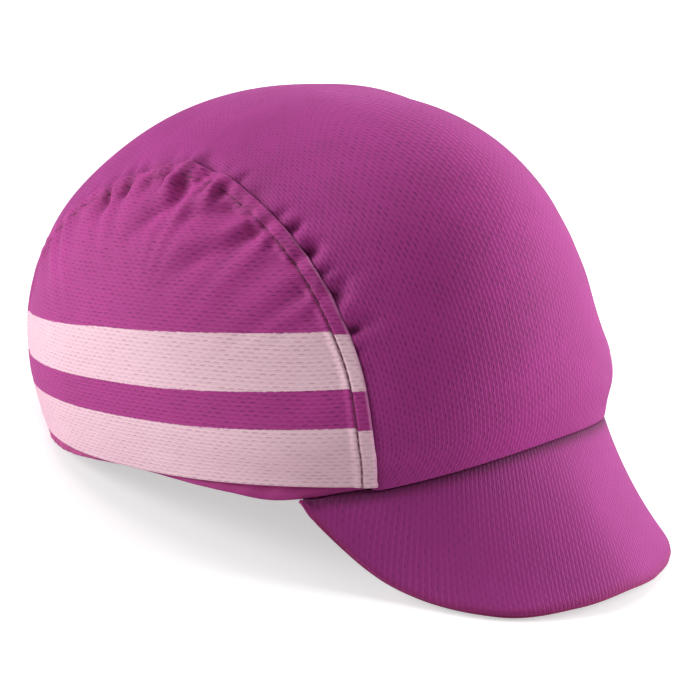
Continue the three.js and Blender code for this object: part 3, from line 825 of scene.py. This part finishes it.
def rangeNode(nodes, links, value, low, high, start=0.0, end=1.0, kind="SMOOTHSTEP"):
    # A Map Range node: start at low, end at high, and a smooth or straight way between.
    node = nodes.new("ShaderNodeMapRange")
    node.interpolation_type = kind
    for key, number in (("From Min", low), ("From Max", high), ("To Min", start), ("To Max", end)):
        node.inputs[key].default_value = number
    links.new(value, node.inputs["Value"])
    return node.outputs["Result"]


def noiseNode(nodes, links, place, scale, detail):
    # A noise on the cloth's own places.
    node = nodes.new("ShaderNodeTexNoise")
    node.inputs["Scale"].default_value = scale
    node.inputs["Detail"].default_value = detail
    links.new(place, node.inputs["Vector"])
    return node.outputs["Fac"]


def readAttribute(nodes, name):
    # A value that the mesh carries at its points.
    node = nodes.new("ShaderNodeAttribute")
    node.attribute_name = name
    return node.outputs["Fac"]


def mixColour(nodes, links, amount, first, second):
    # The first colour at amount nought and the second at one; each may be a number or a socket.
    node = nodes.new("ShaderNodeMix")
    node.data_type = "RGBA"
    for key, value in ((0, amount), (6, first), (7, second)):
        if isinstance(value, (int, float)):
            node.inputs[key].default_value = value
        elif isinstance(value, tuple):
            node.inputs[key].default_value = (*value, 1)
        else:
            links.new(value, node.inputs[key])
    return node.outputs[2]


def linear(red, green, blue):
    # Display values 0 to 255 to linear light, by the usual display curve.
    display = np.array([red, green, blue]) / 255
    light = np.where(display <= 0.04045, display / 12.92, ((display + 0.055) / 1.055) ** 2.4)
    return tuple(float(v) for v in light)


def startMaterial(name):
    # A new material with its nodes, its links and its shader.
    material = bpy.data.materials.new(name)
    material.use_nodes = True
    nodes = material.node_tree.nodes
    return material, nodes, material.node_tree.links, nodes["Principled BSDF"]


knit = {
    # the group's inputs with their usual values
    "inputs": (("Slit Pitch", 0.0032), ("Row Pitch", 0.00125), ("Slit Length", 0.0012),
               ("Slit Width", 0.00024), ("Unevenness", 0.65)),
    "swayScale": 260, "sway": 0.0009, "swayUp": 0.35,  # the rows waver
    "slitOuter": 1.35, "slitInner": 0.45,  # a slit's soft edge, in its own half sizes
    "level": 0.8, "rib": -0.3, "slitDepth": 0.7, "mottleScale": 55, "mottleDetail": 4,
}


def makeKnitGroup():
    # Open knit: dark slits in brick rows, an ellipse in each cell with jittered strength, and a
    # soft rib under each row. Holes is 0 to 1, Height is 0 to 1, Tone is a slow mottle.
    group = bpy.data.node_groups.new("openKnit", "ShaderNodeTree")
    socket(group, "Cloth", "Vector")
    for name, value in knit["inputs"]:
        socket(group, name, "Float", False, value)
    for name in ("Holes", "Height", "Tone"):
        socket(group, name, "Float", True)
    nodes, links = group.nodes, group.links
    given, put = nodes.new("NodeGroupInput").outputs, nodes.new("NodeGroupOutput").inputs
    math = lambda *values: mathNode(nodes, links, *values)
    split = nodes.new("ShaderNodeSeparateXYZ")
    links.new(given["Cloth"], split.inputs[0])
    waver = noiseNode(nodes, links, given["Cloth"], knit["swayScale"], 1)
    waver = math("MULTIPLY", math("SUBTRACT", waver, 0.5), knit["sway"])
    alongCloth = math("ADD", split.outputs[0], waver)
    upCloth = math("ADD", split.outputs[1], math("MULTIPLY", waver, knit["swayUp"]))
    row = math("DIVIDE", upCloth, given["Row Pitch"])
    rowNumber = math("FLOOR", row)
    shift = math("MULTIPLY", math("MODULO", rowNumber, 2.0), 0.5)
    cell = math("ADD", math("DIVIDE", alongCloth, given["Slit Pitch"]), shift)
    squares = []
    for part, pitch, size in ((cell, "Slit Pitch", "Slit Length"), (row, "Row Pitch", "Slit Width")):
        inside = math("MULTIPLY", math("SUBTRACT", math("FRACT", part), 0.5), given[pitch])
        away = math("DIVIDE", inside, given[size])
        squares.append(math("MULTIPLY", away, away))
    far = math("SQRT", math("ADD", squares[0], squares[1]))
    slit = rangeNode(nodes, links, far, knit["slitOuter"], knit["slitInner"])
    joined = nodes.new("ShaderNodeCombineXYZ")
    links.new(math("FLOOR", cell), joined.inputs[0])
    links.new(rowNumber, joined.inputs[1])
    chance = nodes.new("ShaderNodeTexWhiteNoise")
    chance.noise_dimensions = "2D"
    links.new(joined.outputs[0], chance.inputs["Vector"])
    weak = math("SUBTRACT", 1.0, math("MULTIPLY", chance.outputs["Value"], given["Unevenness"]))
    holes = math("MULTIPLY", slit, weak)
    rib = math("MULTIPLY", math("COSINE", math("MULTIPLY", row, 2 * np.pi)), knit["rib"])
    height = math("SUBTRACT", math("ADD", rib, knit["level"]), math("MULTIPLY", holes, knit["slitDepth"]))
    mottle = noiseNode(nodes, links, given["Cloth"], knit["mottleScale"], knit["mottleDetail"])
    links.new(holes, put["Holes"])
    links.new(height, put["Height"])
    links.new(mottle, put["Tone"])
    return group


knitLook = {
    "deep": (160, 42, 126), "light": (186, 56, 151), "slit": (84, 2, 68), "slitAmount": 0.64,
    # the colour of the painted shade that each mesh marks in its creases, pockets, gathers and under edges,
    # and its share
    "paintedShading": (84, 14, 60), "paintedShadingAmount": 0.55, "roughness": 0.62, "roughnessSpread": 0.12,
    "specular": 0.3, "sheen": 0.25, "sheenRoughness": 0.45, "sheenTint": (255, 170, 235),
    "bump": 0.5, "bumpDepth": 0.0004, "fuzz": 0.25, "fuzzScale": 2600,
    "Slit Pitch": 0.0025, "Row Pitch": 0.00104, "Slit Length": 0.0010, "Slit Width": 0.0002,
}
sideLook = {
    **knitLook, "deep": (169, 46, 130), "light": (193, 60, 151), "slit": (104, 4, 80), "slitAmount": 0.68,
    "Slit Pitch": 0.0031, "Row Pitch": 0.00122, "Slit Length": 0.00125, "Slit Width": 0.00023,
    "stripe": (255, 218, 229), "stripeDeep": (250, 204, 219), "stripeSlit": (178, 108, 144),
    "stripeSlitAmount": 0.5, "stripeSoft": 0.00012, "ragged": 0.0006, "raggedScale": 900,
    # the thread's line and a painted highlight on the fold's edge, with the distances where they end and are
    # full
    "groove": (100, 22, 62), "grooveAmount": 0.6, "grooveBetween": (0.0006, 0.0001),
    "foldHighlight": (236, 150, 206), "foldHighlightAmount": 0.45, "foldHighlightBetween": (0.0007, 0.0001),
}
peakLook = {
    **knitLook, "deep": (160, 46, 130), "light": (178, 56, 146), "slitAmount": 0.36, "paintedShadingAmount": 0.8,
    "Slit Pitch": 0.0028, "Row Pitch": 0.00115,
    # painted shade on the peak's rolled outer edge: its colour, its share, and the distances where it ends
    # and is full
    "paintedEdgeShade": (150, 34, 92), "edgeShadeAmount": 0.45, "edgeShadeBetween": (0.0036, 0.0006),
}
bandLook = {**knitLook, "deep": (164, 46, 122), "light": (180, 56, 136), "slitAmount": 0.15, "bump": 0.25}
casingLook = {**bandLook, "deep": (176, 62, 126), "light": (196, 80, 146), "paintedShadingAmount": 0.6}
edgingLook = {**knitLook, "deep": (146, 36, 92), "light": (168, 48, 108), "slitAmount": 0.1}
threadLook = {"deep": (96, 22, 64), "light": (134, 40, 94), "plyScale": 900, "plySway": 2, "roughness": 0.6}

knitGroup = makeKnitGroup()


def addStripes(nodes, links, look, weave, cloth, colour):
    # Pale print inside the stripes' edges, made ragged by a fine noise, then the dark line of
    # the thread and a painted highlight along the edge of the fold, by their distance from the seam.
    math = lambda *values: mathNode(nodes, links, *values)
    pale = mixColour(nodes, links, weave["Tone"], linear(*look["stripeDeep"]), linear(*look["stripe"]))
    slitHere = math("MULTIPLY", weave["Holes"], look["stripeSlitAmount"])
    pale = mixColour(nodes, links, slitHere, pale, linear(*look["stripeSlit"]))
    ragged = math("SUBTRACT", noiseNode(nodes, links, cloth, look["raggedScale"], 2), 0.5)
    inside = math("ADD", readAttribute(nodes, "stripe"), math("MULTIPLY", ragged, look["ragged"]))
    printed = rangeNode(nodes, links, inside, -look["stripeSoft"], look["stripeSoft"], kind="LINEAR")
    colour = mixColour(nodes, links, printed, colour, pale)
    away, shown = readAttribute(nodes, "seamAway"), readAttribute(nodes, "plain")
    fromLine = math("ABSOLUTE", math("SUBTRACT", away, side["stitchAway"]))
    for far, tint, between, strength in ((fromLine, "groove", "grooveBetween", "grooveAmount"),
                                         (away, "foldHighlight", "foldHighlightBetween", "foldHighlightAmount")):
        near = rangeNode(nodes, links, far, *look[between])
        amount = math("MULTIPLY", math("MULTIPLY", near, shown), look[strength])
        colour = mixColour(nodes, links, amount, colour, linear(*look[tint]))
    return colour


def makeKnit(name, look):
    # Base colour of the cloth between two tones by a slow mottle, darker in its slits, with painted
    # shade in its creases, pockets, gathers and under edges, and with what a side panel (print, the thread's
    # line and a painted highlight on the fold's edge) or the peak (painted shade at its rolled edge) adds;
    # the knit and a fine fuzz give the bump.
    material, nodes, links, shader = startMaterial(name)
    math = lambda *values: mathNode(nodes, links, *values)
    mapped, group = nodes.new("ShaderNodeUVMap"), nodes.new("ShaderNodeGroup")
    mapped.uv_map = "cloth"
    cloth = mapped.outputs["UV"]
    group.node_tree = knitGroup
    for key, usual in knit["inputs"]:
        group.inputs[key].default_value = look.get(key, usual)
    links.new(cloth, group.inputs["Cloth"])
    weave = group.outputs
    colour = mixColour(nodes, links, weave["Tone"], linear(*look["deep"]), linear(*look["light"]))
    holes = math("MULTIPLY", weave["Holes"], look["slitAmount"])
    colour = mixColour(nodes, links, holes, colour, linear(*look["slit"]))
    if "stripe" in look:
        colour = addStripes(nodes, links, look, weave, cloth, colour)
    if "paintedEdgeShade" in look:
        # Painted shade that darkens the peak towards its rolled outer edge.
        nearEdge = rangeNode(nodes, links, readAttribute(nodes, "edgeAway"), *look["edgeShadeBetween"])
        amount = math("MULTIPLY", nearEdge, look["edgeShadeAmount"])
        colour = mixColour(nodes, links, amount, colour, linear(*look["paintedEdgeShade"]))
    # Painted shade: the mesh's shade weight darkens the colour where shade would fall.
    shaded = math("MULTIPLY", readAttribute(nodes, "paintedShade"), look["paintedShadingAmount"])
    colour = mixColour(nodes, links, shaded, colour, linear(*look["paintedShading"]))
    links.new(colour, shader.inputs["Base Color"])
    rough = math("ADD", math("MULTIPLY", weave["Tone"], look["roughnessSpread"]), look["roughness"])
    links.new(rough, shader.inputs["Roughness"])
    shader.inputs["Specular IOR Level"].default_value = look["specular"]
    shader.inputs["Sheen Weight"].default_value = look["sheen"]
    shader.inputs["Sheen Roughness"].default_value = look["sheenRoughness"]
    shader.inputs["Sheen Tint"].default_value = (*linear(*look["sheenTint"]), 1)
    bump = nodes.new("ShaderNodeBump")
    bump.inputs["Strength"].default_value = look["bump"]
    bump.inputs["Distance"].default_value = look["bumpDepth"]
    fuzz = math("MULTIPLY", noiseNode(nodes, links, cloth, look["fuzzScale"], 2), look["fuzz"])
    links.new(math("ADD", weave["Height"], fuzz), bump.inputs["Height"])
    links.new(bump.outputs["Normal"], shader.inputs["Normal"])
    return material


def makeThread(name, look):
    # Twisted thread: fine diagonal bands of the same dark colour, by a swayed wave.
    material, nodes, links, shader = startMaterial(name)
    where, ply = nodes.new("ShaderNodeTexCoord"), nodes.new("ShaderNodeTexWave")
    ply.inputs["Scale"].default_value = look["plyScale"]
    ply.inputs["Distortion"].default_value = look["plySway"]
    links.new(where.outputs["Object"], ply.inputs["Vector"])
    colour = mixColour(nodes, links, ply.outputs["Fac"], linear(*look["deep"]), linear(*look["light"]))
    links.new(colour, shader.inputs["Base Color"])
    shader.inputs["Roughness"].default_value = look["roughness"]
    return material


def dress(piece, node, material):
    # Gives a piece its material and its body, and hides the CAD node that it replaces.
    piece.data.materials.append(material)
    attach(piece, "root")
    if node:
        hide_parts(node)


crownKnit = makeKnit("crownKnit", knitLook)
sideKnit = makeKnit("sideKnit", sideLook)
peakKnit = makeKnit("peakKnit", peakLook)
bandKnit = makeKnit("bandKnit", bandLook)
casingKnit = makeKnit("casingKnit", casingLook)
edgingKnit = makeKnit("edgingKnit", edgingLook)
seamThread = makeThread("seamThread", threadLook)
print("materials done")

underTop = peak["wall"] + seam["gap"]  # depth of the peak's under skin below its upper face
dress(makeCentrePanel(), "crown_centre_panel", crownKnit)
dress(makeSidePanel("sidePanelRight", -1), "side_panel_right", sideKnit)
dress(makeSidePanel("sidePanelLeft", 1), "side_panel_left", sideKnit)
dress(makeStitches("seamStitchesRight", -1), None, seamThread)
dress(makeStitches("seamStitchesLeft", 1), None, seamThread)
dress(makeSweatband(), "sweatband", bandKnit)
dress(makeCasing(), "nape_casing", casingKnit)
dress(makePeakSkin("peakUpperCloth", 0.0, True), "peak_upper", peakKnit)
dress(makePeakSkin("peakUnderCloth", underTop, False), "peak_under", peakKnit)
dress(makePeakEdging(), None, edgingKnit)
print("cap dressed")

# Floor, light and camera

studio = {
    "floorSize": 6.0, "floorTone": 0.78, "floorRoughness": 0.9, "floorSpecular": 0.1,
    # the floor's glow as seen, near the cap and far from it, and the distances of both
    "nearGlow": 0.52, "farGlow": 1.0, "glowBetween": (0.3, 1.2),
    "worldTone": 1.0, "worldStrength": 0.05,
    # azimuth, elevation and power of each soft light: two stand to the sides of the view, so
    # what faces the camera stays the darkest
    "lights": [
        ("rightLight", 45, 22, 16.8),
        ("leftLight", -135, 22, 15.4),
        ("topLight", 150, 75, 6.2),
        ("farLight", 95, 30, 5.2),
    ],
    "lightDistance": 1.3, "lightSize": 0.9, "lightAim": (0, 0, 0.05),
}
# The camera as it stands to the worn cap: direction and roll in degrees, aim and distance in
# metres, and focal length in pixels of a picture 700 wide
view = {"azimuth": -42.961, "elevation": 15.093, "roll": -3.109, "distance": 1.142552,
        "aim": (0.18178, 0.175038, -0.044904), "focal": 2767.48, "picture": 700, "sensor": 36.0,
        "clip": (0.05, 50)}


def towards(azimuth, elevation):
    # Unit vector from azimuth, measured from -Y towards +X, and elevation.
    a, e = np.radians(azimuth), np.radians(elevation)
    return np.array([np.sin(a) * np.cos(e), -np.cos(a) * np.cos(e), np.sin(e)])


def makeFloor():
    # A wide pale square that glows for the camera alone, more with the distance from the cap.
    half = studio["floorSize"]
    corners = [(-half, -half, 0), (half, -half, 0), (half, half, 0), (-half, half, 0)]
    mesh = bpy.data.meshes.new("floor")
    mesh.from_pydata(corners, [], [(0, 1, 2, 3)])
    floor = bpy.data.objects.new("floor", mesh)
    bpy.context.scene.collection.objects.link(floor)
    pale, nodes, links, shader = startMaterial("paleFloor")
    shader.inputs["Base Color"].default_value = (*(studio["floorTone"],) * 3, 1)
    shader.inputs["Roughness"].default_value = studio["floorRoughness"]
    shader.inputs["Specular IOR Level"].default_value = studio["floorSpecular"]
    seen, where = nodes.new("ShaderNodeLightPath"), nodes.new("ShaderNodeTexCoord")
    away = nodes.new("ShaderNodeVectorMath")
    away.operation = "LENGTH"
    links.new(where.outputs["Object"], away.inputs[0])
    glow = rangeNode(nodes, links, away.outputs["Value"], *studio["glowBetween"],
                     studio["nearGlow"], studio["farGlow"], kind="LINEAR")
    glow = mathNode(nodes, links, "MULTIPLY", seen.outputs["Is Camera Ray"], glow)
    links.new(glow, shader.inputs["Emission Color"])
    shader.inputs["Emission Strength"].default_value = 1
    floor.data.materials.append(pale)
    print("floor done")


def makeLights():
    # A dim world that is white behind the floor, and soft square lights that face the cap.
    world = bpy.context.scene.world or bpy.data.worlds.new("studio")
    bpy.context.scene.world = world
    world.use_nodes = True
    nodes, links = world.node_tree.nodes, world.node_tree.links
    sky = nodes["Background"]
    sky.inputs["Color"].default_value = (*(studio["worldTone"],) * 3, 1)
    seen = nodes.new("ShaderNodeLightPath").outputs["Is Camera Ray"]
    links.new(mathNode(nodes, links, "MAXIMUM", seen, studio["worldStrength"]), sky.inputs["Strength"])
    for name, azimuth, elevation, power in studio["lights"]:
        lamp = bpy.data.lights.new(name, "AREA")
        lamp.size = studio["lightSize"]
        lamp.energy = power
        light = bpy.data.objects.new(name, lamp)
        light.location = Vector(towards(azimuth, elevation)) * studio["lightDistance"]
        facing = Vector(studio["lightAim"]) - light.location
        light.rotation_euler = facing.to_track_quat("-Z", "Y").to_euler()
        bpy.context.scene.collection.objects.link(light)
    print("lights done")


def makeCamera():
    # The worn camera's axes, rolled, then turned and moved with the cap as it lies down.
    back = towards(view["azimuth"], view["elevation"])
    a, r = np.radians(view["azimuth"]), np.radians(view["roll"])
    right = np.array([np.cos(a), np.sin(a), 0])
    up = np.cross(back, right)
    right, up = right * np.cos(r) + up * np.sin(r), up * np.cos(r) - right * np.sin(r)
    spot = np.array(view["aim"]) + back * view["distance"]
    origin = lieDown(np.zeros(3))
    columns = [*(lieDown(axis) - origin for axis in (right, up, back)), lieDown(spot)]
    lens = bpy.data.cameras.new("photoView")
    lens.sensor_width = view["sensor"]
    lens.lens = view["focal"] / view["picture"] * view["sensor"]
    lens.clip_start, lens.clip_end = view["clip"]
    camera = bpy.data.objects.new("photoView", lens)
    camera.matrix_world = Matrix([*np.stack(columns, -1).tolist(), [0, 0, 0, 1]])
    bpy.context.scene.collection.objects.link(camera)
    bpy.context.scene.camera = camera
    print("camera done")


makeFloor()
makeLights()
makeCamera()
bpy.context.scene.view_settings.view_transform = "Standard"

bpy.context.view_layer.update()
